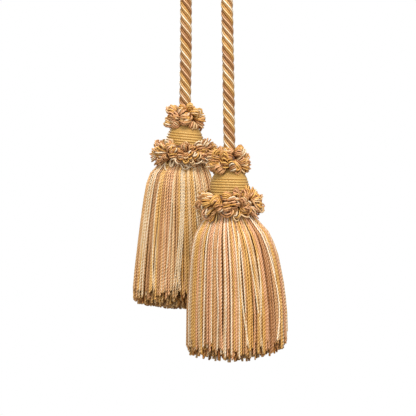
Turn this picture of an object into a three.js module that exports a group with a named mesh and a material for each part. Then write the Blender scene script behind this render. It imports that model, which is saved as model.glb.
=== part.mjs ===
// A double chair tassel: one twisted cord, looped at its middle to hang from, with a tassel on each end.
// Each tassel is a wound head between two ruches of looped yarn, with a skirt of cut threads below.
// Millimetres, +Z up. The origin is where the loop bears on what it hangs from: the underside of the
// cord at the top of its bend. +X runs from the left tassel to the right one, and -Y faces the viewer.
import * as THREE from "three";

// ---- driving sizes ----
const CORD_DIAMETER = 7;
const CORD_SIDES = 10;
const CORD_STEPS = 44;
const CLEARANCE = 0.4; // between pieces that touch
const CORD_HOLE = CORD_DIAMETER / 2 + CLEARANCE; // through the upper ruche, radius

const TURN_PITCH = 1.5; // one turn of the yarn wound round a head
const TURN_DEPTH = 0.35; // from the top of a turn down into the groove
const HEAD_SEGMENTS = 20;
const HEAD_TOP_RADIUS = 6.5; // the flat that the upper ruche sits on
const HEAD_RADIUS = 11.3;
const HEAD_SHOULDER = 10.5; // how far down the dome reaches its full radius

// The two ruches as sections: share of the ruche's height, share of its radius.
const UPPER_RUCHE_SECTIONS = [
  { down: 0.0, out: 0.58 },
  { down: 0.28, out: 0.86 },
  { down: 0.6, out: 1.0 },
  { down: 0.86, out: 0.95 },
  { down: 1.0, out: 0.87 },
];
const LOWER_RUCHE_SECTIONS = [
  { down: 0.0, out: 0.64 },
  { down: 0.12, out: 0.82 },
  { down: 0.34, out: 0.93 },
  { down: 0.52, out: 0.92 },
  { down: 0.74, out: 1.0 },
  { down: 1.0, out: 0.9 },
];
const UPPER_RUCHE_LOBES = 7;
const LOWER_RUCHE_LOBES = 10;
const SEGMENTS_PER_LOBE = 4;
const LOBE_DEPTH = 0.08; // share of the radius by which a ruche draws in between its lobes

const SKIRT_GROUPS = 36; // groups of threads that part a little from their neighbours
const GROUP_DEPTH = 0.5; // the hollow between two groups
const COMB_DEPTH = 2.2; // how far a group's end hangs below the gap beside it
const COMB_UNEVEN = 1.2; // how much further some groups hang than others
const UNDERSIDE_RINGS = [0.82, 0.6, 0.34]; // rings of thread ends, as shares of the skirt's radius

// ---- the two tassels ----
// x, y: the tassel's axis. top: the height of its upper ruche. All "down" sizes are measured from there.
// Each row of skirt is a section: its depth, half width, half depth, and how far its middle has moved
// sideways and backwards, because the two skirts press each other apart.
const LEFT = {
  name: "left",
  x: -13.2,
  y: 19.5,
  top: -84,
  upperRuche: { from: 0, to: 16, radius: 12 },
  head: { from: 12, to: 31 },
  lowerRuche: { from: 21, to: 36, radius: 19.8 },
  skirt: [
    { down: 31.4, across: 10.8, deep: 10.8, aside: 0, back: 0 },
    { down: 35.2, across: 14.0, deep: 13.4, aside: -1.4, back: 0.1 },
    { down: 38.4, across: 16.4, deep: 15.2, aside: -2.6, back: 0.2 },
    { down: 43.0, across: 19.0, deep: 17.0, aside: -2.9, back: 0.4 },
    { down: 55.8, across: 21.4, deep: 18.6, aside: -3.0, back: 0.8 },
    { down: 73.0, across: 23.7, deep: 20.2, aside: -3.0, back: 1.1 },
    { down: 90.5, across: 25.8, deep: 21.6, aside: -3.0, back: 1.4 },
    { down: 112.0, across: 27.8, deep: 22.8, aside: -3.0, back: 1.5 },
  ],
  skirtMiddle: 119,
};
const RIGHT = {
  name: "right",
  x: 12.5,
  y: -19.5,
  top: -109,
  upperRuche: { from: 0, to: 16, radius: 12.8 },
  head: { from: 12, to: 34 },
  lowerRuche: { from: 24, to: 41, radius: 19.8 },
  skirt: [
    { down: 34.4, across: 10.8, deep: 10.8, aside: 0, back: 0 },
    { down: 38.8, across: 13.4, deep: 13.0, aside: 0.4, back: -0.1 },
    { down: 42.8, across: 17.0, deep: 15.6, aside: 0.5, back: -0.2 },
    { down: 49.0, across: 21.6, deep: 18.4, aside: 1.5, back: -0.5 },
    { down: 59.5, across: 25.0, deep: 20.6, aside: 2.5, back: -0.9 },
    { down: 76.9, across: 27.3, deep: 22.2, aside: 3.6, back: -1.2 },
    { down: 92.0, across: 28.6, deep: 23.0, aside: 4.1, back: -1.4 },
    { down: 115.0, across: 28.9, deep: 23.4, aside: 4.3, back: -1.5 },
  ],
  skirtMiddle: 122.5,
};

// The cord's middle line: up from the left head, over the loop and down to the right head.
const CORD_ROUTE = [
  [-13.2, 19.5, -95.4],
  [-13.2, 19.5, -90],
  [-13.1, 19.5, -82],
  [-12.85, 19.5, -68],
  [-12.65, 19.5, -52],
  [-12.6, 19.5, -38],
  [-12.6, 19.5, -28],
  [-12.5, 19.5, -19.5],
  [-11.5, 18.1, -10.8],
  [-8.9, 13.8, -3.4],
  [-5.1, 7.4, 1.7],
  [-0.6, 0, 3.5],
  [3.9, -7.4, 1.7],
  [7.6, -13.8, -3.4],
  [10.1, -18.1, -10.8],
  [10.9, -19.5, -19.5],
  [11.1, -19.5, -28],
  [11.4, -19.5, -42],
  [11.7, -19.5, -58],
  [11.95, -19.5, -74],
  [12.2, -19.5, -90],
  [12.4, -19.5, -105],
  [12.5, -19.5, -114],
  [12.5, -19.5, -120.4],
];

// ---- materials ----
function cloth(color, roughness) {
  return new THREE.MeshStandardMaterial({ color, roughness, metalness: 0 });
}
const CORD_YARN = cloth(0xc49a6d, 0.55);
const RUCHE_YARN = cloth(0xb98a56, 0.65);
const HEAD_YARN = cloth(0xd3a45d, 0.6);
const SKIRT_YARN = cloth(0xcd9f6c, 0.6);

// ---- helpers ----
// A round solid from a profile of [radius, height] points, with its axis on Z.
function turned(profile, segments) {
  const points = profile.map(([radius, height]) => new THREE.Vector2(radius, height));
  return new THREE.LatheGeometry(points, segments).rotateX(Math.PI / 2);
}

// Moves each point of a turned solid. place takes the point's angle, radius and height and gives [x, y, z].
function reshaped(geometry, place) {
  const position = geometry.getAttribute("position");
  for (let i = 0; i < position.count; i++) {
    const angle = Math.atan2(position.getY(i), position.getX(i));
    const radius = Math.hypot(position.getX(i), position.getY(i));
    position.setXYZ(i, ...place(angle, radius, position.getZ(i)));
  }
  return geometry;
}

function named(name, geometry, material) {
  const mesh = new THREE.Mesh(geometry, material);
  mesh.name = name;
  return mesh;
}

// The same wandering value from -1 to 1 for the same number, so that no two groups hang alike.
function uneven(number) {
  return Math.sin(number * 12.9898) * Math.cos(number * 4.1414);
}

// A value from one column of a skirt's table, between the two rows on either side of a depth.
function between(rows, column, down) {
  const last = rows.length - 1;
  const after = rows.findIndex((row) => row.down >= down);
  if (after === 0) return rows[0][column];
  if (after < 0) return rows[last][column];
  const [a, b] = [rows[after - 1], rows[after]];
  const share = (down - a.down) / (b.down - a.down);
  return a[column] + share * (b[column] - a[column]);
}

// ---- pieces ----
// The cord: a round tube along its route.
function cord() {
  const route = new THREE.CatmullRomCurve3(
    CORD_ROUTE.map(([x, y, z]) => new THREE.Vector3(x, y, z)),
    false,
    "centripetal",
  );
  const section = new THREE.Shape();
  for (let side = 0; side < CORD_SIDES; side++) {
    const angle = (2 * Math.PI * side) / CORD_SIDES;
    const [x, y] = [Math.cos(angle) * (CORD_DIAMETER / 2), Math.sin(angle) * (CORD_DIAMETER / 2)];
    if (side === 0) section.moveTo(x, y);
    else section.lineTo(x, y);
  }
  section.closePath();
  const tube = new THREE.ExtrudeGeometry(section, {
    steps: CORD_STEPS,
    extrudePath: route,
    bevelEnabled: false,
    curveSegments: 1,
  });
  return named("cord", tube, CORD_YARN);
}

// A ring whose outside, from the radius firm outward, swells into lobes, where the loops of yarn stand
// out. The lobes of its lower half stand between those of its upper half.
function lobedRing(profile, lobes, firm) {
  const outside = Math.max(...profile.map(([radius]) => radius));
  const heights = profile.map(([, height]) => height);
  const middle = (Math.max(...heights) + Math.min(...heights)) / 2;
  return reshaped(turned(profile, lobes * SEGMENTS_PER_LOBE), (angle, radius, height) => {
    const outward = Math.max(0, (radius - firm) / (outside - firm));
    const tier = height > middle ? 1 : -1;
    const drawnIn = LOBE_DEPTH * outside * outward * (0.5 - 0.5 * tier * Math.cos(lobes * angle));
    const reach = radius - drawnIn;
    return [reach * Math.cos(angle), reach * Math.sin(angle), height];
  });
}

// The outside of a ruche, from its foot up to its top.
function rucheOutside(sections, { from, to, radius }) {
  return [...sections].reverse().map(({ down, out }) => [out * radius, -(from + down * (to - from))]);
}

// The head's radius at a distance down from its flat top.
function domeRadius(down) {
  const share = Math.min(1, down / HEAD_SHOULDER);
  return HEAD_TOP_RADIUS + (HEAD_RADIUS - HEAD_TOP_RADIUS) * Math.sin((share * Math.PI) / 2);
}

// The upper ruche: a ring of loops round the cord, resting on the head's flat top and on its dome.
function upperRuche(tassel) {
  const { from, to } = tassel.upperRuche;
  const rest = tassel.head.from - CLEARANCE;
  const onDome = to - rest;
  const inside = [0, 0.25, 0.5, 1].map((share) => [
    domeRadius(share * onDome) + CLEARANCE,
    -(rest + share * onDome),
  ]);
  const profile = [
    [CORD_HOLE, -rest],
    ...inside,
    ...rucheOutside(UPPER_RUCHE_SECTIONS, tassel.upperRuche),
    [CORD_HOLE, -(from + 2)],
    [CORD_HOLE, -rest],
  ];
  const firm = inside[inside.length - 1][0];
  const ring = lobedRing(profile, UPPER_RUCHE_LOBES, firm);
  return named(`${tassel.name}_upper_ruche`, ring, RUCHE_YARN);
}

// The head: a dome wound with turns of yarn, each turn a rounded ridge.
function head(tassel) {
  const { from, to } = tassel.head;
  const turns = Math.floor((to - from) / TURN_PITCH);
  const profile = [
    [0, -to],
    [HEAD_RADIUS - 1.2, -to],
  ];
  for (let turn = turns; turn > 0; turn--) {
    const down = (turn - 0.5) * TURN_PITCH;
    const crest = domeRadius(down);
    profile.push([crest, -(from + down)], [crest - TURN_DEPTH, -(from + down - TURN_PITCH / 2)]);
  }
  profile.push([0, -from]);
  return named(`${tassel.name}_head`, turned(profile, HEAD_SEGMENTS), HEAD_YARN);
}

// The lower ruche: a wider ring of loops round the head's foot, lying on the skirt's shoulder.
function lowerRuche(tassel) {
  const { to } = tassel.lowerRuche;
  const hole = HEAD_RADIUS + CLEARANCE;
  const [neck, shoulder, below] = tassel.skirt;
  const clear = 2 * CLEARANCE;
  const reach = (row) => row.across + Math.abs(row.aside) + clear;
  const share = Math.max(0, (to - shoulder.down) / (below.down - shoulder.down));
  const foot = reach(shoulder) + share * (reach(below) - reach(shoulder));
  const outside = rucheOutside(LOWER_RUCHE_SECTIONS, tassel.lowerRuche);
  const bottom = -(neck.down - CLEARANCE);
  const profile = [
    [hole, bottom],
    [reach(shoulder), -(shoulder.down - clear)],
    [foot + clear, -(to - clear)],
    ...outside,
    [hole, outside[outside.length - 1][1] - 1],
    [hole, bottom],
  ];
  const ring = lobedRing(profile, LOWER_RUCHE_LOBES, foot + clear);
  return named(`${tassel.name}_lower_ruche`, ring, RUCHE_YARN);
}

// The skirt: a full bell of threads. Groups of threads part along its sides, its lower edge is a comb of
// their ends, and its underside swells down towards the middle, where the threads hang straight.
function skirt(tassel) {
  const rows = tassel.skirt;
  const edge = rows[rows.length - 1].down;
  const profile = [[0, -tassel.skirtMiddle]];
  for (const share of [...UNDERSIDE_RINGS].reverse()) {
    profile.push([share, -(tassel.skirtMiddle - (tassel.skirtMiddle - edge) * share * share)]);
  }
  for (const row of [...rows].reverse()) profile.push([1, -row.down]);
  profile.push([0, -rows[0].down]);

  const bell = reshaped(turned(profile, 2 * SKIRT_GROUPS), (angle, share, height) => {
    const down = Math.min(-height, edge);
    const turn = (angle / (2 * Math.PI) + 1) * SKIRT_GROUPS;
    const crest = 0.5 + 0.5 * Math.cos(2 * Math.PI * turn);
    const group = Math.round(turn) % SKIRT_GROUPS;
    const opened = Math.min(1, (down - rows[0].down) / (edge - rows[0].down) + 0.3);
    const onSide = share > 0.99 && down > rows[0].down;
    const hollow = onSide ? GROUP_DEPTH * opened * (1 - crest) : 0;
    const isEnd = -height > edge - 0.01 && share > 0.01;
    const comb = onSide ? COMB_DEPTH * (crest - 1) : 0;
    const hang = isEnd ? comb + COMB_UNEVEN * uneven(group + 7 * share) : 0;
    const across = between(rows, "across", down) - hollow;
    const deep = between(rows, "deep", down) - hollow;
    return [
      between(rows, "aside", down) + Math.cos(angle) * share * across,
      between(rows, "back", down) + Math.sin(angle) * share * deep,
      height - hang,
    ];
  });
  return named(`${tassel.name}_skirt`, bell, SKIRT_YARN);
}

// One whole tassel, on its axis and at its height.
function tasselGroup(tassel) {
  const group = new THREE.Group();
  group.add(upperRuche(tassel), head(tassel), lowerRuche(tassel), skirt(tassel));
  group.position.set(tassel.x, tassel.y, tassel.top);
  return group;
}

const chairTassel = new THREE.Group();
chairTassel.add(cord(), tasselGroup(LEFT), tasselGroup(RIGHT));

export default chairTassel;
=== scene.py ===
import math

import bpy
import numpy as np
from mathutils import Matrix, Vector


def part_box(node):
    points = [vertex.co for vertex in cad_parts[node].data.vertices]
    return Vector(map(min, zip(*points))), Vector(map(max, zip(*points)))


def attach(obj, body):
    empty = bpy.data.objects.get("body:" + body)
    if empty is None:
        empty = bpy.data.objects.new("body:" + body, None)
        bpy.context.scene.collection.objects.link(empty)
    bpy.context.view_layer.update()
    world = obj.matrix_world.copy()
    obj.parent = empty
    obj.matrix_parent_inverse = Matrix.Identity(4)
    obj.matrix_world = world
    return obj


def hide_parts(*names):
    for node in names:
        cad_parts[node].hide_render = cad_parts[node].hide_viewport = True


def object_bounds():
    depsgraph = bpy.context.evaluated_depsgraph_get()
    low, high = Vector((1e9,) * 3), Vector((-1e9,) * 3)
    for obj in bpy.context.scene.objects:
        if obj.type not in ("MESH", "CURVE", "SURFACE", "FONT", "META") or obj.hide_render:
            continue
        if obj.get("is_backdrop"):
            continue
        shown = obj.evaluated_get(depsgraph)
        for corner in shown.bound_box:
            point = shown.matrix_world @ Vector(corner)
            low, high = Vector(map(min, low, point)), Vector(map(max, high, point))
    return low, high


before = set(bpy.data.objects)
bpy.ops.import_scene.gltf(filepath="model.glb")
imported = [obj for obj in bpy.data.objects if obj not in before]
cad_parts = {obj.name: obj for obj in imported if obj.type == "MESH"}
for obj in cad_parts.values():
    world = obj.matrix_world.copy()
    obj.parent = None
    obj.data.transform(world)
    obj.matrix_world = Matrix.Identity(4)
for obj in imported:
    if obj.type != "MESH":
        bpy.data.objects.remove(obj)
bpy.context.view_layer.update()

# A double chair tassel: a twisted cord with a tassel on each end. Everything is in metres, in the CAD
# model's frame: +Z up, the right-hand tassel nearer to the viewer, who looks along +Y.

TAU = 2 * math.pi

# ---- driving sizes ----
CORD_LAY = 0.0206  # length of one full turn of the cord's strands
STRANDS = 4
STRAND_OFFSET = 0.00202  # a strand's middle from the cord's middle
STRAND_RADIUS = 0.00151

TURN_PITCH = 0.0015  # of the yarn wound round a head
TURN_RADIUS = 0.00083  # of that yarn
FINE_PITCH = 0.00056  # the same two for the fine yarn at the top of a head
FINE_RADIUS = 0.00034
FINE_WINDING = {"left": 0.0034, "right": 0.0041}  # how far down a head is wound with fine yarn
HEAD_LEAN = {"left": 0.07, "right": 0.0}  # how much lower a head's turns run on the right
DOME_TOP = 0.0065  # a head's radius at its flat top
DOME_SHOULDER = 0.0105  # from there down to its full radius
CORE_DEPTH = 0.0010  # from a head's outside to the core under its turns

THREAD_RADIUS = 0.00062  # of a skirt's threads
THREAD_SPACING = 0.00142  # along the skirt's lower edge
PLY_STEP = 0.0019  # from one turn of the plies of a thread to the next
CREAM_THICKNESS = 0.78  # of a cream thread, as a share of the others'
CROSSING_THICKNESS = 0.76  # the same for the cream threads that cross the others
SWAY = 0.0005  # how far a thread sways sideways
STRAY_SWAY = 0.0022  # the same for a stray one
STRAY_LIFT = 0.0005  # how far a stray thread lies over the others
STRAYS = {"cream": 0.3, "other": 0.04}  # the share of the outermost threads that stray
UNDERSIDE_DROP = 0.0075  # from a skirt's lower edge to its lowest threads, in the middle
# Where a skirt's threads end, above the lowest ones. For the outer threads: in front, how much more at the
# sides, and how much more on the right. For the inner ones: in the middle, how much more at the rim, and
# how much more on the right.
SKIRT_ENDS = {
    "left": {
        "outer": 0.0102, "outer_sides": -0.0024, "outer_right": 0.0,
        "inner": 0.0022, "inner_rim": 0.0036, "inner_right": 0.0,
    },
    "right": {
        "outer": 0.0062, "outer_sides": 0.0048, "outer_right": 0.0014,
        "inner": 0.0030, "inner_rim": 0.0064, "inner_right": 0.0022,
    },
}
INNER_THREADS = 720  # those inside a skirt, of which only the ends show
INNER_RINGS = np.array([0.016, 0.004, 0.0])  # how far above its end each ring of an inner thread is,
INNER_INSETS = np.array([0.0034, 0.0022, 0.0014])  # and how far inside the bell at the rim
BELL_INSET = 0.0036  # from a skirt's outside to the mass inside, dark with painted shade

UPPER_BASE = 0.0050  # the radius at which an upper ruche's petals stand
LOWER_BASE = 0.0115  # the same for a lower ruche
LOOP_YARN_RADIUS = 0.00046  # of the yarn in the ruches
LOOSE_END_RADIUS = 0.0005
LOOSE_END = [  # the course of one loose end of yarn, from the right lower ruche's axis and lowest level
    (0.0125, -0.0080, 0.0115),
    (0.0152, -0.0094, 0.0072),
    (0.0176, -0.0101, 0.0046),
]
FAN = 0.50  # from a petal's middle to its outermost loop, in radians
CURL = (0.10, 0.45)  # how far a petal's tip curls over, as shares of its reach
FLAP = {"left": 0.5, "right": -0.15}  # where a golden petal stands up against the cord, from the front
LOWER_PETALS = {"left": (18, 0.8), "right": (15, 1.0)}  # in a tier of the lower ruche, and their width
PETAL_LAYERS = [(6, 1.0, 1.0), (4, 0.74, 0.5)]  # loops side by side, and their share of reach and width
HANGING_LAYERS = [(1, 1.0, 1.0), (1, 0.7, 0.6)]  # the same for the single loops that hang in front

GOLDEN_RATIO = (math.sqrt(5) - 1) / 2
UPPER_SEEDS = {"left": 40, "right": 76}
LOWER_SEEDS = {"left": 58, "right": 244}
SKIRT_SEEDS = {"left": 47, "right": 60}

# ---- how the colours are shared out ----
DEEP_SHADE = np.array([0.64, 0.43, 0.19])  # how dark a yarn looks deep among the others
STUB_SHADE = np.array([0.46, 0.35, 0.20])  # painted shade like it, for the darker ends inside a skirt
BRIGHT_STUBS = 0.5  # the share of those ends whose tips are left bright, without that painted shade
CUT_GOLD = 0.6  # how golden a thread's cut end is
LAYERS = [  # of a skirt's threads: how far in, how much lower they end, and how dark with painted shade
    (0, 0, 1.0),
    (0.0007, 0.0006, np.array([0.98, 0.94, 0.86])),
    (0.0022, 0.0020, DEEP_SHADE),
]
PALER = {"left": 0.12, "right": 0.0}  # how far a skirt's colours go towards cream
SKIRT_TONE_AND_SHADE = {"left": np.ones(3), "right": np.array([0.93, 0.93, 1.0])}  # each skirt's cast of colour; the right one's is also painted shade, darker as it stands nearer the key light
PETAL_SHADE_AND_TONE = np.array([0.86, 0.83, 0.80])  # painted shade that makes the ruches' yarns look darker than the skirts', with a slight cast of colour
GOLDEN_PETALS = {"left": 0.15, "right": 0.4}  # the share of a ruche's petals that are golden
SINGLE_CREAM = 0.45  # the share of a skirt's runs of colour that come after a single thread of cream
# Cream threads that cross the others in front: where each is, as a share of the half width to the right,
# at the top, halfway down and at its end, and how far down it comes out from under the others.
CROSSING = {
    "left": [
        (-0.60, -0.64, -0.56, 0.2),
        (-0.19, -0.23, -0.33, 0.2),
        (0.07, 0.01, -0.16, 0.1),
        (0.11, 0.05, -0.10, 0.1),
        (0.15, 0.09, -0.05, 0.1),
    ],
    "right": [
        (0.24, 0.10, 0.27, 0.2),
        (0.31, 0.38, 0.52, 0.2),
        (0.55, 0.52, 0.41, 0.5),
    ],
}

# The cord's middle line, as in the CAD model: up from the left head, over the loop, down to the right one.
CORD_ROUTE = [
    (-0.0132, 0.0195, -0.0954),
    (-0.0132, 0.0195, -0.09),
    (-0.0131, 0.0195, -0.082),
    (-0.01285, 0.0195, -0.068),
    (-0.01265, 0.0195, -0.052),
    (-0.0126, 0.0195, -0.038),
    (-0.0126, 0.0195, -0.028),
    (-0.0125, 0.0195, -0.0195),
    (-0.0115, 0.0181, -0.0108),
    (-0.0089, 0.0138, -0.0034),
    (-0.0051, 0.0074, 0.0017),
    (-0.0006, 0.0, 0.0035),
    (0.0039, -0.0074, 0.0017),
    (0.0076, -0.0138, -0.0034),
    (0.0101, -0.0181, -0.0108),
    (0.0109, -0.0195, -0.0195),
    (0.0111, -0.0195, -0.028),
    (0.0114, -0.0195, -0.042),
    (0.0117, -0.0195, -0.058),
    (0.01195, -0.0195, -0.074),
    (0.0122, -0.0195, -0.09),
    (0.0124, -0.0195, -0.105),
    (0.0125, -0.0195, -0.114),
    (0.0125, -0.0195, -0.1204),
]


# ---- colours ----
def yarn(red, green, blue):
    """A yarn's colour, given as it looks on a screen from 0 to 255, as linear light."""
    shown = np.array([red, green, blue]) / 255
    return np.where(shown > 0.04045, ((shown + 0.055) / 1.055) ** 2.4, shown / 12.92)


GOLD = yarn(226, 178, 100)
PALE_GOLD = yarn(238, 204, 140)
TAN = yarn(214, 166, 114)
PEACH = yarn(222, 170, 126)
SAND = yarn(226, 194, 150)
COPPER = yarn(176, 112, 62)
CREAM = yarn(240, 220, 190)
BROWN = yarn(188, 136, 86)
OCHRE = yarn(208, 156, 84)
HEAD_GOLD = yarn(188, 152, 88)
# The yarns of the skirts, and the shares of their runs of colour: cream comes only as single threads.
SKIRT_YARNS = np.array([GOLD, TAN, PEACH, SAND, BROWN, CREAM])
YARN_SHARES = np.array([0.38, 0.26, 0.16, 0.14, 0.06, 0])
# The yarns of a ruche's petals: most of them mixed, some of them golden, and some hanging loops pale.
MIXED, GOLDEN, PALE = range(3)
HANGING_KIND = {"left": PALE, "right": MIXED}
PETAL_YARNS = np.array([
    [TAN, PEACH, SAND, BROWN, CREAM, GOLD, OCHRE, TAN, BROWN, PEACH],
    [GOLD, OCHRE, PALE_GOLD, GOLD, TAN, OCHRE, SAND, OCHRE, BROWN, GOLD],
    [CREAM, SAND, CREAM, TAN, CREAM, SAND, CREAM, PALE_GOLD, CREAM, SAND],
])


# ---- materials ----
class Wire:
    """An output of a node. Arithmetic on it adds Math nodes, so that a pattern reads as its formula."""

    def __init__(self, tree, socket=None):
        self.tree = tree
        self.socket = socket

    def node(self, kind, inputs=(), output=0, **settings):
        """Adds a node of a kind: its settings, then its inputs, as {name or place: value or wire}."""
        made = self.tree.nodes.new(kind)
        for name, value in settings.items():
            setattr(made, name, value)
        for name, value in dict(inputs).items():
            if isinstance(value, Wire):
                self.tree.links.new(value.socket, made.inputs[name])
            else:
                made.inputs[name].default_value = value
        return Wire(self.tree, made.outputs[output]) if len(made.outputs) else None

    def math(self, operation, first, second=0.0):
        return self.node("ShaderNodeMath", {0: first, 1: second}, operation=operation)

    def __add__(self, other):
        return self.math("ADD", self, other)

    __radd__ = __add__

    def __sub__(self, other):
        return self.math("SUBTRACT", self, other)

    def __rsub__(self, other):
        return self.math("SUBTRACT", other, self)

    def __mul__(self, other):
        return self.math("MULTIPLY", self, other)

    __rmul__ = __mul__

    def __truediv__(self, other):
        return self.math("DIVIDE", self, other)

    def __pow__(self, power):
        return self.math("POWER", self, power)

    def wrapped(self):
        """What is left after the whole number below it."""
        return self.math("FRACT", self)

    def mixed(self, first, second):
        """The first colour where this is 0 and the second where it is 1."""
        inputs = {0: self, 6: first, 7: second}
        return self.node("ShaderNodeMix", inputs, output=2, data_type="RGBA")


def ridge(turns):
    """A round ridge for each whole turn: 0 in the groove between two ridges, and 1 on the crest."""
    return 0.5 - turns.math("COSINE", turns * TAU) * 0.5


def spun(name, plies, pull, depth, groove, roughness, paleness=0.8, light_width=0.0, settle=0.0,
         flank=0.0):
    """The finish of twisted yarn.

    The yarn's own UV map runs once round it and counts turns along it. A ply's crest lies where
    plies x round - pull x along is a whole number. Colour comes from the piece's attribute tint, with
    painted shade in the grooves, and for every second ply from the attribute light, if it has a width
    as a share of two plies. Paleness is how far a pale yarn loses the painted shade of its grooves.
    That shade is faint at its start, where the yarn is bound tightly beside its neighbours and faces
    up to the light, and full after the turns in settle. Flank is painted shade too: how much light is
    lost from the yarn's outer side to its inner one, where its neighbours touch it.
    """
    material = bpy.data.materials.new(name)
    material.use_nodes = True
    tree = material.node_tree
    tree.nodes.clear()
    start = Wire(tree)
    place = start.node("ShaderNodeUVMap", uv_map="yarn")
    split = start.node("ShaderNodeSeparateXYZ", {0: place})
    around = split
    along = Wire(tree, split.socket.node.outputs[1])
    ply = around * plies - along * pull
    height = ridge(ply + 0.5)
    where = start.node("ShaderNodeTexCoord", output=3)
    fibres = start.node("ShaderNodeTexNoise", {"Vector": where, "Scale": 2600.0, "Detail": 2.0})
    patches = start.node("ShaderNodeTexNoise", {"Vector": where, "Scale": 130.0, "Detail": 1.0})
    tint = start.node("ShaderNodeAttribute", attribute_name="tint")
    if light_width:
        light_ply = start.node("ShaderNodeAttribute", attribute_name="light")
        aside = ((ply * 0.5 + 0.5).wrapped() - 0.5) / light_width
        tint = (1 - start.math("MINIMUM", aside * aside, 1.0)).mixed(tint, light_ply)
    bare = start.node("ShaderNodeSeparateColor", {0: tint}, output=2)
    depth_kept = 1 - bare * bare * paleness
    if settle:
        depth_kept = depth_kept * (start.math("MINIMUM", along / settle, 1.0) * 0.6 + 0.4)
    uneven = (fibres - 0.5) * 0.3 + (patches - 0.5) * 0.25
    # Painted shade in the grooves, with uneven tone from the noise.
    light = 1 - (1 - height) * depth_kept * (1 - groove) + uneven
    outer = 1 - ridge(around) * flank
    # Light is redder each time it comes back from a groove, so blue falls off the fastest.
    shade = start.node(
        "ShaderNodeCombineXYZ", {0: light * outer, 1: light**1.4 * outer**2, 2: light**2.2 * outer**4}
    )
    colour = start.node("ShaderNodeVectorMath", {0: tint, 1: shade}, operation="MULTIPLY")
    bump_inputs = {"Height": height + fibres * 0.3, "Distance": depth, "Strength": 0.8}
    bump = start.node("ShaderNodeBump", bump_inputs)
    shader = start.node(
        "ShaderNodeBsdfPrincipled",
        {
            "Base Color": colour,
            "Roughness": roughness + (fibres - 0.5) * 0.2,
            "Normal": bump,
            "Specular IOR Level": 0.28,
            "Sheen Weight": 0.05,
            "Sheen Roughness": 0.4,
        },
    )
    start.node("ShaderNodeOutputMaterial", {"Surface": shader})
    return material


THREAD = spun("skirt_thread", plies=2, pull=2, depth=0.00030, groove=0.50, roughness=0.45, settle=6)
LOOP_YARN = spun("ruche_yarn", plies=2, pull=2, depth=0.00010, groove=0.8, roughness=0.36)
HEAD_GIMP = spun("head_gimp", plies=1, pull=1, depth=0.00004, groove=0.8, roughness=0.42, paleness=0,
                 flank=0.45)
STRAND_YARN = spun("cord_strand", plies=8, pull=-2, depth=0.00026, groove=0.40, roughness=0.42,
                   light_width=0.31)


# ---- surfaces ----
def unit(vectors):
    return vectors / np.linalg.norm(vectors, axis=-1, keepdims=True)


def smooth_step(value):
    value = np.clip(value, 0, 1)
    return value * value * (3 - 2 * value)


def skin(rings, ends, around, along, colours):
    """Closed surfaces over rings of points, which run the right-handed way round the path they follow.

    rings holds, for every surface, its rings and their points, and ends its first and last pole. The UV
    map yarn counts around from 0 to that number in x, and takes along, a value for every ring, in y.
    """
    count, steps, sides = rings.shape[:3]
    points = np.concatenate([rings.reshape(count, -1, 3), ends], axis=1)
    step, k = (grid.ravel() for grid in np.meshgrid(np.arange(steps - 1), np.arange(sides), indexing="ij"))
    after = (k + 1) % sides
    low, high = step * sides, (step + 1) * sides
    quads = np.stack([low + k, low + after, high + after, high + k], axis=-1)
    quad_u = np.stack([k, k + 1, k + 1, k], axis=-1)
    quad_v = np.stack([step, step, step + 1, step + 1], axis=-1)
    k, after, pole = np.arange(sides), np.roll(np.arange(sides), -1), steps * sides
    last = pole - sides
    first_cap = np.stack([np.full(sides, pole), after, k], axis=-1)
    last_cap = np.stack([np.full(sides, pole + 1), last + k, last + after], axis=-1)
    cap_u = np.concatenate([np.stack([k + 0.5, k + 1, k], -1), np.stack([k + 0.5, k, k + 1], -1)])
    cap_v = np.repeat([0, steps - 1], sides)[:, None] + np.zeros((1, 3), int)
    shift = (np.arange(count) * points.shape[1])[:, None, None]

    def corner_uv(u, v):
        u = np.broadcast_to(u * around / sides, (count, *u.shape))
        return np.stack([u, along[:, v]], axis=-1).reshape(-1, 2)

    return {
        "points": points.reshape(-1, 3),
        "quads": (quads + shift).reshape(-1, 4),
        "caps": (np.concatenate([first_cap, last_cap]) + shift).reshape(-1, 3),
        "quad_uv": corner_uv(quad_u, quad_v),
        "cap_uv": corner_uv(cap_u, cap_v),
        "colours": {
            name: spread(value, count, steps, sides) for name, value in colours.items()
        },
    }


def spread(colour, count, steps, sides):
    """A colour for every point of closed surfaces, from one for all, one for each or one for each ring."""
    colour = np.asarray(colour)
    rings = np.broadcast_to(colour if colour.ndim == 3 else colour[..., None, :], (count, steps, 3))
    return np.concatenate([np.repeat(rings, sides, axis=1), rings[:, [0, -1]]], axis=1).reshape(-1, 3)


def tubes(paths, side, radius, sides, turn, turns=None, **colours):
    """Round tubes carried along many paths at once, each closed at both ends.

    A ring's point at angle a is the path's point + radius x (cos a x across + sin a x over): across is
    side made square to the path, and over is square to both. Along counts turns, of the length turn,
    unless turns gives them for every ring.
    """
    along = unit(np.gradient(paths, axis=1))
    side = np.broadcast_to(side, paths.shape)
    across = unit(side - np.sum(side * along, axis=2, keepdims=True) * along)
    over = np.cross(along, across)
    angle = TAU * np.arange(sides) / sides
    spoke = np.cos(angle)[:, None] * across[:, :, None] + np.sin(angle)[:, None] * over[:, :, None]
    radius = np.broadcast_to(radius, paths.shape[:2])
    rings = paths[:, :, None] + radius[:, :, None, None] * spoke
    steps = np.linalg.norm(np.diff(paths, axis=1, prepend=paths[:, :1]), axis=2)
    length = np.cumsum(steps, axis=1)
    tips = along[:, [0, -1]] * radius[:, [0, -1], None] * np.array([-0.35, 0.35])[:, None]
    return skin(rings, paths[:, [0, -1]] + tips, 1, length / turn if turns is None else turns, colours)


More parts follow.
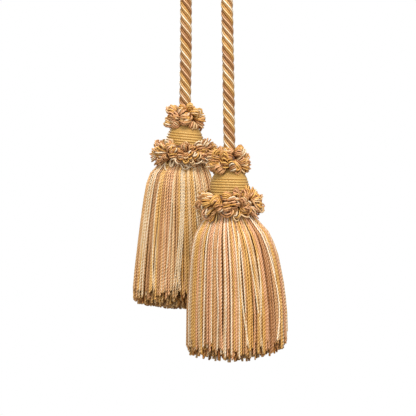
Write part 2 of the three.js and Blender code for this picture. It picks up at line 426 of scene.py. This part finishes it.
def stacked_rings(middles, across, deep, sides, tint):
    """A solid of level ellipses, from the lowest up, each a middle and its half widths in x and in y."""
    angle = TAU * np.arange(sides) / sides
    spoke = np.stack([np.cos(angle), np.sin(angle), 0 * angle], axis=-1)
    half = np.stack([across, deep, 0 * deep], axis=-1)
    rings = middles[:, None] + half[:, None] * spoke
    along = (middles[:, 2] - middles[0, 2]) / TURN_PITCH
    return skin(rings[None], middles[None, [0, -1]], 60, along[None], {"tint": tint})


def joined(parts):
    """Several surfaces as one."""
    first = np.cumsum([0] + [len(part["points"]) for part in parts])
    whole = {
        key: np.concatenate([part[key] for part in parts]) for key in ("points", "quad_uv", "cap_uv")
    }
    for key in ("quads", "caps"):
        whole[key] = np.concatenate([part[key] + at for part, at in zip(parts, first)])
    whole["colours"] = {
        name: np.concatenate([part["colours"][name] for part in parts]) for name in parts[0]["colours"]
    }
    return whole


def piece(name, surface, material, slot, *nodes):
    """Makes a surface a smooth piece of the object, which stands for the CAD nodes that are named."""
    mesh = bpy.data.meshes.new(name)
    quads, caps = surface["quads"], surface["caps"]
    corners = np.concatenate([quads.ravel(), caps.ravel()])
    starts = np.concatenate([np.arange(len(quads)) * 4, quads.size + np.arange(len(caps)) * 3])
    mesh.vertices.add(len(surface["points"]))
    mesh.vertices.foreach_set("co", surface["points"].ravel())
    mesh.loops.add(len(corners))
    mesh.loops.foreach_set("vertex_index", corners)
    mesh.polygons.add(len(starts))
    mesh.polygons.foreach_set("loop_start", starts)
    mesh.update(calc_edges=True)
    mesh.polygons.foreach_set("use_smooth", np.ones(len(starts), bool))
    uv = np.concatenate([surface["quad_uv"], surface["cap_uv"]])
    mesh.uv_layers.new(name="yarn").data.foreach_set("uv", uv.ravel())
    for colour, values in surface["colours"].items():
        attribute = mesh.attributes.new(colour, "FLOAT_COLOR", "POINT")
        with_alpha = np.concatenate([values, np.ones((len(values), 1))], axis=1)
        attribute.data.foreach_set("color", with_alpha.ravel())
    mesh.validate()
    mesh.materials.append(material)
    made = bpy.data.objects.new(name, mesh)
    bpy.context.scene.collection.objects.link(made)
    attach(made, "root")
    if nodes:
        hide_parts(*nodes)
    return made


# ---- camera ----
def look():
    """A long lens, nearly level, with the loop of the cord just above the view."""
    away, rise = 2.2, math.radians(1.5)
    aim = Vector((0.00023, 0.0, -0.1443))
    camera = bpy.data.objects.new("camera", bpy.data.cameras.new("camera"))
    bpy.context.scene.collection.objects.link(camera)
    back = Vector((0, -math.cos(rise), math.sin(rise)))
    camera.location = aim + back * away
    camera.rotation_mode = "QUATERNION"
    camera.rotation_quaternion = (-back).to_track_quat("-Z", "Y")
    camera.data.sensor_width = 36
    camera.data.lens = 36 * away / 0.2404  # the view is 240.4 mm wide at the object
    bpy.context.scene.camera = camera


look()


# ---- the cord ----
def route_line(step):
    """The smooth line through the route's points, about a step apart: between two points p1 and p2, with
    their neighbours p0 and p3, it is p1 + t(p2-p0)/2 + t²(2p0-5p1+4p2-p3)/2 + t³(3p1-p0-3p2+p3)/2."""
    route = np.array(CORD_ROUTE)
    ends = [2 * route[:1] - route[1:2], route, 2 * route[-1:] - route[-2:-1]]
    p = np.concatenate(ends)
    p0, p1, p2, p3 = (p[i:len(p) - 3 + i, None] for i in range(4))
    t = np.linspace(0, 1, 24, endpoint=False)[:, None]
    bend = (p2 - p0) * t + (2 * p0 - 5 * p1 + 4 * p2 - p3) * t**2 + (3 * p1 - p0 - 3 * p2 + p3) * t**3
    dense = np.concatenate([(p1 + bend / 2).reshape(-1, 3), route[-1:]])
    length = np.concatenate([[0], np.cumsum(np.linalg.norm(np.diff(dense, axis=0), axis=1))])
    even = np.linspace(0, length[-1], round(length[-1] / step))
    line = np.stack([np.interp(even, length, dense[:, axis]) for axis in range(3)], axis=1)
    return line, even


def cord():
    """Strands laid round the route: a strand's middle is the route's point + offset x the direction at
    angle start + its share of a turn - length / lay, so the strands slope down to the right in front.
    The plies of a strand turn the other way, so that each lies steeper than the strand, and a light one
    comes out to the front on both legs of the cord."""
    line, length = route_line(0.00045)
    along = unit(np.gradient(line, axis=0))
    flat = line[-1] - line[0]
    square = np.cross(flat, (0, 0, 1.0))
    square = unit(square - (along @ square)[:, None] * along)
    over = np.cross(along, square)
    first_turn, slack = 0.063, 0.316  # the strands open a little over the bend, by this share of a turn
    over_bend = smooth_step((length - 0.07) / 0.08)
    turn = first_turn + np.arange(STRANDS)[:, None] / STRANDS - length / CORD_LAY + slack * over_bend
    out = (np.cos(TAU * turn)[:, :, None] * square + np.sin(TAU * turn)[:, :, None] * over)
    paths = line + STRAND_OFFSET * out
    # The direction square to both legs is this share of a turn from the front, once each way.
    from_front = math.atan2(abs(square[0, 0]), abs(square[0, 1])) / TAU
    plies = turn - from_front * (1 - 2 * over_bend)
    tint = np.array([yarn(199, 156, 99), yarn(191, 144, 80), yarn(156, 110, 67), yarn(174, 128, 83)])
    light = np.array([yarn(228, 215, 192), yarn(222, 192, 142), yarn(208, 168, 130), yarn(218, 195, 164)])
    strands = tubes(paths, out, STRAND_RADIUS, 20, None, turns=plies, tint=tint, light=light)
    made = piece("twisted_cord", strands, STRAND_YARN, "cord_yarn", "cord")


cord()


# ---- the heads ----
def wound(middle, top, first, last, pitch, radius, full_radius, lean):
    """Yarn wound down a dome, from one depth to another: the dome's radius grows as the sine of the way
    down to its shoulder, and the yarn comes down one pitch a turn and leans down to the right."""
    turns = (last - first) / pitch
    turn = np.linspace(0, turns, int(turns * 44))
    down = first + turn * pitch
    angle = TAU * turn
    reach = dome_radius(down, full_radius) - radius
    out = np.stack([np.cos(angle), np.sin(angle), 0 * angle], axis=-1)
    height = top - down - lean * reach * np.cos(angle)
    path = out * reach[:, None] + np.stack([0 * down + middle.x, 0 * down + middle.y, height], axis=-1)
    tint = HEAD_GOLD * (0.97 if pitch < TURN_PITCH else 1.0)
    return tubes(path[None], out[None], radius, 8, 0.0007, tint=tint)


def dome_radius(down, full_radius):
    return DOME_TOP + (full_radius - DOME_TOP) * np.sin(np.minimum(1, down / DOME_SHOULDER) * TAU / 4)


def head(side):
    low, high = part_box(f"{side}_head")
    middle, full = (low + high) / 2, (high.x - low.x) / 2
    tall = high.z - low.z
    change, lean = FINE_WINDING[side], HEAD_LEAN[side]
    fine = wound(middle, high.z, 0.0004, change + TURN_PITCH, FINE_PITCH, FINE_RADIUS, full, lean)
    coarse = wound(middle, high.z, change + 0.0006, tall - 0.0008, TURN_PITCH, TURN_RADIUS, full, lean)
    down = np.linspace(tall - 0.0002, 0.0002, 12)
    middles = np.stack([0 * down + middle.x, 0 * down + middle.y, high.z - down], axis=-1)
    inside = dome_radius(down, full) - CORE_DEPTH
    # The core shows in the gaps between the turns; its colour is darkened by painted shade.
    core = stacked_rings(middles, inside, inside, 40, HEAD_GOLD * DEEP_SHADE * 0.6)
    piece(f"{side}_wound_head", joined([fine, coarse, core]), HEAD_GIMP, "head_yarn", f"{side}_head")


# ---- the skirts ----
def sections(node, edge):
    """The CAD skirt's sections from its top down to its lower edge, each a height with the middle and the
    half width of the slice there in x and in y. A slice is where the mesh's edges cross the height."""
    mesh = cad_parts[node].data
    points = np.zeros(len(mesh.vertices) * 3, np.float32)
    mesh.vertices.foreach_get("co", points)
    ends = np.zeros(len(mesh.edges) * 2, np.int32)
    mesh.edges.foreach_get("vertices", ends)
    first, second = points.reshape(-1, 3)[ends.reshape(-1, 2)].astype(float).transpose(1, 0, 2)
    table = []
    for height in np.linspace(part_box(node)[1].z - 0.0004, edge + 0.0030, 24):
        cut = (first[:, 2] > height) != (second[:, 2] > height)
        a, b = first[cut], second[cut]
        slice_points = a + (b - a) * ((height - a[:, 2]) / (b[:, 2] - a[:, 2]))[:, None]
        low, high = slice_points.min(0), slice_points.max(0)
        table.append((height, *((low + high) / 2)[:2], *((high - low) / 2)[:2]))
    return np.array(table)


def skirt_point(table, angle, height, share=1.0, inset=0.0):
    """The point at an angle and height on the skirt: its ellipse's point, drawn in to a share of the
    way from the middle, and then by the inset."""
    x, y, across, deep = (np.interp(-height, -table[:, 0], table[:, i]) for i in (1, 2, 3, 4))
    return np.stack([x + np.cos(angle) * (across * share - inset),
                     y + np.sin(angle) * (deep * share - inset), height + 0 * angle], axis=-1)


def even_angles(table, count):
    """Angles that are evenly spaced along the skirt's lower edge."""
    fine = np.linspace(0, TAU, 1441)
    edge = np.hypot(np.sin(fine) * table[-1, 3], np.cos(fine) * table[-1, 4])
    along = np.concatenate([[0], np.cumsum((edge[1:] + edge[:-1]) / 2)])
    return np.interp(np.arange(count) / count * along[-1], along, fine)


def yarn_runs(rng, side, count):
    """The skirt's colours in order round it: short runs of a colour, often with a single thread of cream
    between two of them. Gives each thread's colour, and whether it is cream."""
    kinds = len(SKIRT_YARNS)
    single = kinds - 1
    order = [0]
    while len(order) < count:
        other = np.where(np.arange(kinds) == order[-1], 0, YARN_SHARES)
        kind = rng.choice(kinds, p=other / other.sum())
        order += [single] * (rng.random() < SINGLE_CREAM) + [kind] * rng.integers(1, 4)
    order = np.array(order[:count])
    plain = SKIRT_YARNS[order]
    tint = (plain + (CREAM - plain) * PALER[side]) * SKIRT_TONE_AND_SHADE[side]
    return tint * rng.normal(1, 0.06, (count, 1)).clip(0.8, 1.2), order == single


def drift(rng, count, share):
    """Slow waves along each thread, which grow down its length: the sum of three sines."""
    return sum(
        rng.normal(0, 1 / k, (count, 1)) * np.sin(k * math.pi * share + rng.uniform(0, TAU, (count, 1)))
        for k in (1, 2, 3)
    ) * share


def laid_threads(table, rng, angle, height, inset, thick, tint):
    """Threads down the skirt's side, each at an angle and an inset for every height. They are finer at the
    top, and their cut ends are more golden."""
    pitches = rng.normal(1, 0.03, len(angle)).clip(0.93, 1.07)
    share = (height - height[:, :1]) / (height[:, -1:] - height[:, :1])
    paths = skirt_point(table, angle, height, inset=inset)
    out = np.stack([np.cos(angle), np.sin(angle), 0 * angle], axis=-1)
    radius = THREAD_RADIUS * thick * (0.84 + 0.16 * smooth_step(share / 0.4))
    turns = pitches[:, None] * (height[:, :1] - height) / (2 * PLY_STEP)
    tint = np.broadcast_to(np.asarray(tint)[..., None, :], (len(angle), 1, 3))
    tint = tint + (GOLD - tint) * CUT_GOLD * (share > 0.99)[..., None]
    return tubes(paths, out, radius, 5, None, turns=turns, tint=tint)


def hung_threads(table, angle, rng, rank, depth, top, ends, sway, thick, tint):
    """Threads down the skirt's side. Where the bell is too narrow for all of them, those of a high rank
    lie under the others, and each sways sideways a little more the further down it is."""
    count, share = len(angle), np.append(np.linspace(0, 0.991, 11) ** 1.4, 1)
    height = top + (ends[:, None] - top) * share
    room = np.interp(-height, -table[:, 0], table[:, 3]) / table[-1, 3]
    under = smooth_step((rank[:, None] - room) / 0.12 + 0.5)
    angle = angle[:, None] + sway[:, None] * drift(rng, count, share) / table[-1, 3]
    lift = rng.normal(0, 0.00025, (count, 1)) * share
    inset = depth[:, None] + lift + THREAD_RADIUS * (1 + 1.1 * under)
    thick = thick[:, None] * rng.normal(1, 0.06, (count, 1)).clip(0.88, 1.14)
    return laid_threads(table, rng, angle, height, inset, thick, tint)


def crossing_threads(table, side, rng, top, end):
    """Cream threads over the others in front: the share of the half width follows the parabola through
    its three values, and the angle from the front is its arc sine. Each starts covered by the others."""
    marks = np.array(CROSSING[side])
    t = np.linspace(0, 1, 12)
    share = marks[:, :3] @ np.array([(1 - t) * (1 - 2 * t), 4 * t * (1 - t), t * (2 * t - 1)])
    ends = end + rng.normal(0, 0.0010, (len(marks), 1))
    covered = 1 - smooth_step(t / marks[:, 3:])
    inset = THREAD_RADIUS - STRAY_LIFT * np.sin(math.pi * t) + 0.0012 * covered
    angle, height = np.arcsin(share) - TAU / 4, top + (ends - top) * t
    return laid_threads(table, rng, angle, height, inset, CROSSING_THICKNESS, CREAM * 0.94)


def skirt(side, seed):
    """Layers of threads over the bell, with those inside it hanging lower, on a mass darkened by painted
    shade.
    """
    rng = np.random.default_rng(seed)
    low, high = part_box(f"{side}_skirt")
    table = sections(f"{side}_skirt", low.z + UNDERSIDE_DROP)
    top = high.z - 0.0012
    girth = TAU * math.hypot(table[-1, 3], table[-1, 4]) / math.sqrt(2)
    count = round(girth / THREAD_SPACING)
    rank = (np.arange(count) * GOLDEN_RATIO) % 1
    angles = even_angles(table, count)
    at_end = SKIRT_ENDS[side]
    outer_end = low.z + at_end["outer"]

    layers = [crossing_threads(table, side, rng, top, outer_end)]
    # Each layer's dim is painted shade, darker for the layers that lie deeper under the others.
    for layer, (inset, drop, dim) in enumerate(LAYERS):
        angle = angles + (rng.normal(0, 0.30, count) + 0.5 * layer) * TAU / count
        right = np.cos(angle)
        ends = outer_end + at_end["outer_sides"] * right**2 + at_end["outer_right"] * right - drop
        ends = ends + rng.normal(0, 0.0023, count).clip(-0.0032, 0.0054)
        tint, cream = yarn_runs(rng, side, count)
        strays = np.where(cream, STRAYS["cream"], STRAYS["other"])
        stray = (rng.random(count) < strays) & (layer == 0)
        sway = np.where(stray, STRAY_SWAY, SWAY)
        depth = np.where(stray, inset - STRAY_LIFT, inset)
        thick = np.where(cream, CREAM_THICKNESS, 1.0)
        layers.append(
            hung_threads(table, angle, rng, rank, depth, top, ends, sway, thick, tint * dim)
        )
    piece(f"{side}_skirt_threads", joined(layers), THREAD, "skirt_yarn", f"{side}_skirt")

    # The threads inside: a sunflower's spiral fills the skirt's section.
    place = np.arange(INNER_THREADS) + 0.5
    share = np.sqrt(place / INNER_THREADS)
    angle = (place * TAU * GOLDEN_RATIO)[:, None] + np.zeros(len(INNER_RINGS))
    right = share * np.cos(angle[:, 0])
    ends = low.z + at_end["inner_rim"] * share**2 + at_end["inner_right"] * right
    ends = ends + rng.normal(at_end["inner"], 0.0018, INNER_THREADS).clip(-0.0004, 0.008)
    height = ends[:, None] + INNER_RINGS
    paths = skirt_point(table, angle, height, share[:, None], share[:, None] * INNER_INSETS)
    out = np.stack([np.cos(angle), np.sin(angle), 0 * angle], axis=-1)
    # Painted shade: half of the inner ends are darker, and each is darker higher up, where the outer
    # threads shade it.
    tip = np.where(rng.random((INNER_THREADS, 1)) < BRIGHT_STUBS, 1.0, STUB_SHADE)
    dim = np.stack([tip * 0.2, tip * 0.5, tip], axis=1)
    tint = (yarn_runs(rng, side, INNER_THREADS)[0] + GOLD)[:, None] / 2 * dim
    stubs = tubes(paths, out, THREAD_RADIUS * 1.1, 5, 2 * PLY_STEP, tint=tint)

    # The mass of threads between those that show: a bell that closes every gap, its colour darkened by
    # painted shade.
    z = np.linspace(table[-1, 0], top, 14)
    x, y, across, deep = (np.interp(-z, -table[:, 0], table[:, i]) for i in (1, 2, 3, 4))
    middles = np.stack([x, y, z], axis=-1)
    bell = stacked_rings(middles, across - BELL_INSET, deep - BELL_INSET, 48, COPPER * 0.3)
    piece(f"{side}_inner_threads", joined([stubs, bell]), THREAD, "skirt_yarn")


# ---- the ruches ----
def petals(rng, axis, base, tiers, layers, golden, facing=None, droop=0.0, other=MIXED):
    """Petals of looped yarn that stand out all round an axis, or where facing gives their angles. Those in
    front hang lower by the angle droop. A share of them is golden, and the rest are of the other kind.

    A petal leaves the axis at an angle and a height in the direction out, tilted up or down. Its loops
    spread from the root like the ribs of a fan, each in its own direction between out and beside. A loop
    follows that direction x reach x (1 - cos a) / 2 + broad x half x sin a x sin(a / 2)^0.6 for a from 0
    to a full turn, a teardrop. Its tip curls over by a share of the square of the way out. Smaller loops
    of the same form lie inside them.
    """
    a = np.linspace(0.03, 0.97, 11) * TAU
    stretch, swell = (1 - np.cos(a)) / 2, np.sin(a) * np.abs(np.sin(a / 2)) ** 0.6
    # Painted shade: each loop is darker towards its root, deep among the others.
    depth_shade = DEEP_SHADE + (1 - DEEP_SHADE) * smooth_step(stretch / 0.75)[:, None]
    parts = []
    for number, height, tilt, swing, roll, reach, half in tiers:
        turn = (np.arange(number) + rng.random() + rng.normal(0, 0.16, number)) * TAU / number
        if facing is not None:
            turn = np.array(facing)
        heading = turn + np.radians(rng.normal(0, swing, number))
        tilt = np.radians(rng.normal(tilt, 8, number) + droop * np.sin(turn))[:, None]
        roll = np.radians(rng.normal(roll, 38, number))[:, None]
        reach = reach * rng.normal(1, 0.06, (number, 1))
        half = half * rng.normal(1, 0.12, (number, 1))
        radial = np.stack([np.cos(heading), np.sin(heading), 0 * heading], axis=-1)
        tangent = np.stack([-np.sin(heading), np.cos(heading), 0 * heading], axis=-1)
        out = radial * np.cos(tilt) + np.array([0, 0, 1.0]) * np.sin(tilt)
        broad = np.cross(out, tangent) * np.cos(roll) + tangent * np.sin(roll)
        beside = np.cross(out, broad)
        root = np.stack([axis[0] + base * np.cos(turn), axis[1] + base * np.sin(turn),
                         height + rng.normal(0, 0.0006, number)], axis=-1)
        curl_way = rng.uniform(0, TAU, (number, 1))
        curl = np.cos(curl_way) * broad + np.sin(curl_way) * beside
        curl = curl * rng.uniform(*CURL, (number, 1)) * reach
        fan = rng.normal(FAN, 0.09, (number, 1))
        kind = np.where(rng.random((number, 1)) < golden, GOLDEN, other)
        for yarns, deep, tall in layers:
            place = (np.arange(yarns) - (yarns - 1) / 2) / max(1, (yarns - 1) / 2)
            cap = 1 - 0.10 * place**2
            far = reach * deep * cap * rng.normal(1, 0.06, (number, yarns))
            wide = half * tall * cap * rng.normal(1, 0.12, (number, yarns))
            spread_angle = place * fan + rng.normal(0, 0.05, (number, yarns))
            ray = (out[:, None] * np.cos(spread_angle)[..., None]
                   + beside[:, None] * np.sin(spread_angle)[..., None])
            paths = (
                root[:, None, None]
                + ray[:, :, None] * (far[:, :, None] * stretch)[..., None]
                + broad[:, None, None] * (wide[:, :, None] * swell)[..., None]
                + curl[:, None, None] * (stretch**2)[:, None]
            ).reshape(number * yarns, len(a), 3)
            tint = PETAL_YARNS[kind, rng.integers(0, 10, (number, yarns))].reshape(-1, 3) * PETAL_SHADE_AND_TONE
            tint = tint * rng.normal(1, 0.08, (number * yarns, 1)).clip(0.8, 1.2)
            side = np.repeat(beside, yarns, axis=0)[:, None]
            parts.append(tubes(paths, side, LOOP_YARN_RADIUS, 5, 2 * PLY_STEP,
                               tint=tint[:, None] * depth_shade))
    return parts


def roots(axis, rows):
    """The bound roots of a ruche, inside its petals: a solid of round sections, lowest first, darkened by
    painted shade.
    """
    rows = np.array(rows)
    middles = np.stack([0 * rows[:, 0] + axis[0], 0 * rows[:, 0] + axis[1], rows[:, 1]], axis=-1)
    return stacked_rings(middles, rows[:, 0], rows[:, 0], 32, OCHRE * DEEP_SHADE * 0.3)


def upper_ruche(side, seed):
    rng = np.random.default_rng(seed)
    low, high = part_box(f"{side}_upper_ruche")
    axis = ((low.x + high.x) / 2, (low.y + high.y) / 2)
    radius, top = (high.x - low.x) / 2, high.z
    reach = radius - UPPER_BASE
    tiers = [  # petals, height, tilt, swing, roll, reach, half width
        (4, top - 0.0056, 70, 10, 0, reach * 0.72, 0.0019),
        (7, top - 0.0066, 46, 14, 70, reach * 0.84, 0.0021),
        (9, top - 0.0080, 20, 16, 90, reach * 0.98, 0.0022),
        (10, top - 0.0094, -3, 16, 90, reach * 1.00, 0.0022),
        (10, top - 0.0106, -24, 14, 90, reach * 0.96, 0.0021),
    ]
    loops = petals(rng, axis, UPPER_BASE, tiers, PETAL_LAYERS, GOLDEN_PETALS[side])
    flap = [(1, top - 0.0060, 70, 4, 0, reach * 0.8, 0.0018)]
    loops += petals(rng, axis, UPPER_BASE + 0.0008, flap, PETAL_LAYERS, 1, [FLAP[side] - TAU / 4])
    core = roots(axis, [(0.0064, top - 0.0112), (0.0064, top - 0.006), (0.0040, top - 0.003)])
    piece(f"{side}_upper_loops", joined(loops + [core]), LOOP_YARN, "ruche_yarn", f"{side}_upper_ruche")


def lower_ruche(side, seed):
    rng = np.random.default_rng(seed)
    low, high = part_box(f"{side}_lower_ruche")
    axis = ((low.x + high.x) / 2, (low.y + high.y) / 2)
    radius, top, tall = (high.x - low.x) / 2, high.z, high.z - low.z
    base, reach = LOWER_BASE, (radius - LOWER_BASE) * 1.1
    count, fine = LOWER_PETALS[side]
    # As in the upper ruche: petals, height, tilt, swing, roll, reach, half width.
    upmost = [(count, top - tall * 0.40, 38, 14, 80, reach * 0.84, 0.0022 * fine)]
    tiers = [
        (count + 1, top - tall * 0.47, 14, 16, 90, reach * 0.97, 0.0023 * fine),
        (count + 1, top - tall * 0.52, -4, 16, 90, reach * 1.02, 0.0024 * fine),
        (count + 1, top - tall * 0.57, -20, 14, 90, reach * 1.02, 0.0023 * fine),
    ]
    loops = petals(rng, axis, base, upmost, PETAL_LAYERS, GOLDEN_PETALS[side], droop=-8)
    loops += petals(rng, axis, base, tiers, PETAL_LAYERS, GOLDEN_PETALS[side], droop=8)
    facing = np.radians(np.linspace(-150, -30, 9))
    hanging = [(len(facing), top - tall * 0.62, -48, 8, 90, reach * 0.82, 0.0026)]
    loops += petals(rng, axis, base + 0.0018, hanging, HANGING_LAYERS, 0, facing, 6, HANGING_KIND[side])
    if side == "right":
        path = np.array(LOOSE_END) + np.array([*axis, low.z])
        front = np.array([0, -1.0, 0])
        loops.append(tubes(path[None], front, LOOSE_END_RADIUS, 5, 2 * PLY_STEP, tint=TAN * 0.8))
    core = roots(axis, [(base + 0.001, top - tall * 0.74), (base + 0.002, top - tall * 0.66),
                        (base + 0.002, top - tall * 0.4), (base + 0.0006, top - tall * 0.2)])
    piece(f"{side}_lower_loops", joined(loops + [core]), LOOP_YARN, "ruche_yarn", f"{side}_lower_ruche")


for hand in ("left", "right"):
    head(hand)
    upper_ruche(hand, UPPER_SEEDS[hand])
    lower_ruche(hand, LOWER_SEEDS[hand])
    skirt(hand, SKIRT_SEEDS[hand])


# ---- floor and light ----
def soft_light(name, place, size, power, colour=(1, 1, 1)):
    """A square softbox that faces the middle of the object."""
    light = bpy.data.lights.new(name, "AREA")
    light.energy = power
    light.size = size
    light.color = colour
    lamp = bpy.data.objects.new(name, light)
    bpy.context.scene.collection.objects.link(lamp)
    lamp.location = place
    lamp.rotation_mode = "QUATERNION"
    lamp.rotation_quaternion = (Vector(place) - Vector((0, 0, -0.14))).to_track_quat("Z", "Y")


def studio():
    """A pale floor far below, white all round, and soft light from above in front and from behind."""
    side = 3.0
    floor_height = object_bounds()[0].z - 0.6
    mesh = bpy.data.meshes.new("floor")
    corners = [(-side, -side), (side, -side), (side, side), (-side, side)]
    mesh.from_pydata([(x, y, floor_height) for x, y in corners], [], [(0, 1, 2, 3)])
    floor = bpy.data.objects.new("floor", mesh)
    bpy.context.scene.collection.objects.link(floor)
    paint = bpy.data.materials.new("floor_paint")
    paint.use_nodes = True
    plain = paint.node_tree.nodes["Principled BSDF"].inputs
    plain["Base Color"].default_value = (0.86, 0.86, 0.85, 1)
    plain["Roughness"].default_value = 0.9
    plain["Emission Color"].default_value = (1, 1, 0.99, 1)
    plain["Emission Strength"].default_value = 0.45
    mesh.materials.append(paint)
    floor.visible_diffuse = floor.visible_glossy = False  # so that its glow doesn't light the object
    floor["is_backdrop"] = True

    world = bpy.data.worlds.new("studio")
    world.use_nodes = True
    bpy.context.scene.world = world
    tree = world.node_tree
    tree.nodes.clear()
    start = Wire(tree)
    seen = start.node("ShaderNodeLightPath")
    white = start.node("ShaderNodeBackground", {"Color": (1, 1, 1, 1), "Strength": 1.0})
    dim = start.node("ShaderNodeBackground", {"Color": (1, 0.98, 0.95, 1), "Strength": 0.5})
    sky = start.node("ShaderNodeMixShader", {0: seen, 1: dim, 2: white})
    start.node("ShaderNodeOutputWorld", {"Surface": sky})

    soft_light("key", (0.14, -0.7, 0.75), 0.4, 15.4)
    soft_light("side", (1.1, -0.7, 0.3), 0.5, 7)
    soft_light("fill", (-0.6, -1.1, 0.1), 0.8, 7)
    soft_light("back", (-0.5, 1.2, 0.4), 0.8, 15)
    bpy.context.scene.view_settings.view_transform = "Standard"


studio()
